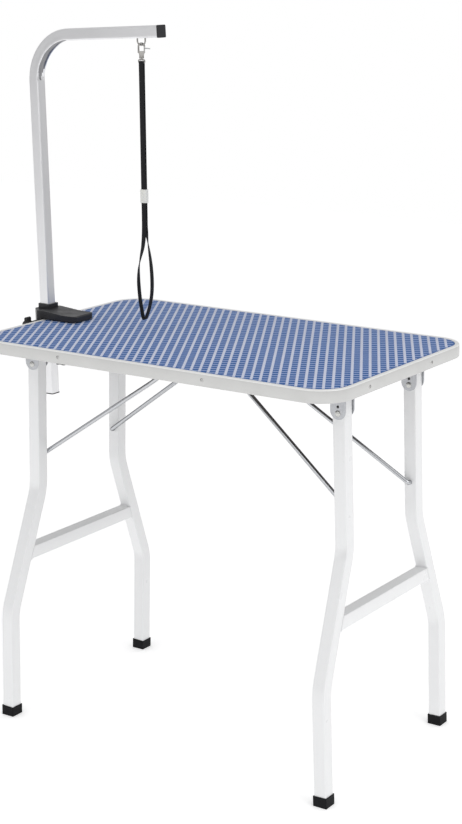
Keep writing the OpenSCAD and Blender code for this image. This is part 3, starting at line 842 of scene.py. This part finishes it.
def noose_strap():
    """Flat webbing from the swivel ring down through the slide, round the loop and back."""
    route = catmull(ROUTE, 6)
    line = [HANG + Vector(p[:3]) * 0.001 for p in route]
    half_w, half_t = 0.005, 0.00095
    outline = round_square(half_w, half_t, 0.0008, 3)
    n = len(outline)
    verts, faces, uvs, along = [], [], [], 0.0
    around = [0.0]
    for k in range(n):
        around.append(around[-1] + (Vector(outline[(k + 1) % n]) - Vector(outline[k])).length)
    lengths = []
    for i, p in enumerate(line):
        way = (line[min(i + 1, len(line) - 1)] - line[max(i - 1, 0)]).normalized()
        a = math.radians(route[i][3])
        flat = Vector((math.cos(a), math.sin(a), 0))
        flat = (flat - way * flat.dot(way)).normalized()
        thick = way.cross(flat)
        verts += [p + flat * x + thick * y for x, y in outline]
        along += (p - line[i - 1]).length if i else 0.0
        lengths.append(along)
    for i in range(len(line) - 1):
        for k in range(n):
            q = (k + 1) % n
            faces.append([i * n + k, i * n + q, (i + 1) * n + q, (i + 1) * n + k])
            uvs.append([(around[k], lengths[i]), (around[k + 1], lengths[i]),
                        (around[k + 1], lengths[i + 1]), (around[k], lengths[i + 1])])
    last = (len(line) - 1) * n
    faces += [[k for k in range(n)][::-1], [last + k for k in range(n)]]
    uvs += [[(0.0, 0.0)] * n] * 2
    obj = smooth(mesh_object("webbing_noose", verts, faces, uvs), 60)
    piece(obj, "swivel", "web", replacing=["noose_strap"])
    return obj


# ---------- light, floor and camera ----------

def world():
    """White behind the object; a soft gradient, brighter from above, as its light."""
    scene = bpy.context.scene
    scene.world = bpy.data.worlds.new("studio")
    scene.world.use_nodes = True
    tree = scene.world.node_tree
    tree.nodes.clear()
    new, link = tree.nodes.new, tree.links.new
    out = new("ShaderNodeOutputWorld")
    seen, lit = new("ShaderNodeBackground"), new("ShaderNodeBackground")
    mix, ray = new("ShaderNodeMixShader"), new("ShaderNodeLightPath")
    where, split = new("ShaderNodeTexCoord"), new("ShaderNodeSeparateXYZ")
    ramp, up = new("ShaderNodeValToRGB"), new("ShaderNodeMapRange")
    up.inputs["From Min"].default_value, up.inputs["From Max"].default_value = -1.0, 1.0
    for element, (at, value) in zip((ramp.color_ramp.elements[0], ramp.color_ramp.elements[1],
                                     ramp.color_ramp.elements.new(0.5),
                                     ramp.color_ramp.elements.new(0.62)),
                                    ((0.0, 0.62), (1.0, 1.0), (0.5, 0.74), (0.62, 0.95))):
        element.position, element.color = at, (value, value, value * 1.01, 1.0)
    link(where.outputs["Generated"], split.inputs[0])
    link(split.outputs["Z"], up.inputs["Value"])
    link(up.outputs["Result"], ramp.inputs["Fac"])
    link(ramp.outputs["Color"], lit.inputs["Color"])
    seen.inputs["Color"].default_value = (1, 1, 1, 1)
    seen.inputs["Strength"].default_value = 1.0
    lit.inputs["Strength"].default_value = 0.66
    link(ray.outputs["Is Camera Ray"], mix.inputs[0])
    link(lit.outputs[0], mix.inputs[1])
    link(seen.outputs[0], mix.inputs[2])
    link(mix.outputs[0], out.inputs["Surface"])


def lamp(name, at, target, size, power, tall=None):
    data = bpy.data.lights.new(name, "AREA")
    data.shape, data.size, data.size_y = "RECTANGLE", size, tall or size
    data.energy = power
    obj = bpy.data.objects.new(name, data)
    bpy.context.scene.collection.objects.link(obj)
    obj.location = at
    obj.rotation_euler = (Vector(target) - Vector(at)).to_track_quat("-Z", "Y").to_euler()


def floor():
    """A white studio floor wide enough to fill every view."""
    reach, n = 6.0, 24
    verts = [Vector((-reach + 2 * reach * i / n, -reach + 2 * reach * j / n, -0.0002))
             for j in range(n + 1) for i in range(n + 1)]
    faces = []
    for j in range(n):
        for i in range(n):
            a = j * (n + 1) + i
            faces.append([a, a + 1, a + n + 2, a + n + 1])
    obj = mesh_object("studio_floor", verts, faces)
    look = Look("studio_white", (0.97, 0.97, 0.97), roughness=0.9)
    look.link(look.mix(look.noise(3, 2), (0.965, 0.965, 0.965), (0.98, 0.98, 0.98)), "Base Color")
    look.set("Specular IOR Level", 0.0)
    look.set("Emission Color", (1, 1, 1, 1))
    look.set("Emission Strength", 0.38)
    obj.data.materials.append(look.material)


def camera():
    """A long lens, shifted off centre, that looks down at the table's front right corner."""
    yaw, pitch, roll = (math.radians(v) for v in (32.854, 15.34, 0.10))
    ahead = Vector((-math.sin(yaw) * math.cos(pitch), math.cos(yaw) * math.cos(pitch),
                    -math.sin(pitch)))
    right = Vector((math.cos(yaw), math.sin(yaw), 0))
    up = right.cross(ahead)
    right, up = (right * math.cos(roll) + up * math.sin(roll),
                 up * math.cos(roll) - right * math.sin(roll))
    data = bpy.data.cameras.new("camera")
    data.sensor_width, data.sensor_fit = 36.0, "AUTO"
    data.lens = 79.4527
    data.shift_x, data.shift_y = -0.071624, 0.031854
    data.clip_start, data.clip_end = 0.05, 60
    obj = bpy.data.objects.new("camera", data)
    bpy.context.scene.collection.objects.link(obj)
    turn = Matrix((right, up, -ahead)).transposed()
    eye = (1.909104 + TABLE_X, -2.71622, 1.482311)
    obj.matrix_world = Matrix.Translation(eye) @ turn.to_4x4()
    bpy.context.scene.camera = obj


# ---------- everything ----------

CAD_LOOKS = {
    "board": ("board", 0.0008), "bracket_screws": ("screw", 0.0003),
    "brace_hook_plate": ("steel", 0.0004), "hook_plate_screws": ("screw", 0.0003),
    "clamp_body": ("clamp", 0.0016), "clamp_jaw_pad": ("rubber", 0.0005),
    "clamp_foot": ("clamp", 0.0008), "clamp_screw": ("zinc", 0.0008),
    "clamp_knob": ("knob", 0.0016), "lock_shoe": ("nylon", 0.0004),
    "lock_screw": ("zinc", 0.0006), "lock_knob": ("knob", 0.0014),
    "arm_end_cap": ("clamp", 0.0009), "arm_tail_plug": ("clamp", 0.0006),
    "noose_eye": ("hook", 0.0002), "snap_hook": ("hook", 0.0001), "snap_gate": ("zinc", 0.0001),
    "gate_pin": ("zinc", 0.0002), "swivel_eye": ("hook", 0.0002), "noose_slide": ("pale", 0.0007),
}
for side_name in SIDES:
    CAD_LOOKS[f"{side_name}_leg_plugs"] = ("rubber", 0.0006)
    for end_name in ENDS:
        CAD_LOOKS[f"{side_name}_{end_name}_bracket"] = ("steel", 0.0005)
        CAD_LOOKS[f"{side_name}_{end_name}_foot"] = ("rubber", 0.0018)

for node, (look, width) in CAD_LOOKS.items():
    dress(rounded_edges(node, width), look)

edge_trim()
rubber_mat()
trim_screws()
hinge_rivets()
for side_name in SIDES:
    crossbar(side_name)
    for end_name in ENDS:
        leg(side_name, end_name)
        brace(side_name, end_name)
arm()
noose_strap()

world()
floor()
lamp("key", (3.2, -0.6, 2.6), (0.1, 0, 0.6), 2.4, 26, 2.4)
lamp("front_fill", (-0.6, -3.6, 1.8), (0, 0, 0.6), 2.6, 14, 2.0)
camera()
bpy.context.scene.view_settings.view_transform = "Standard"
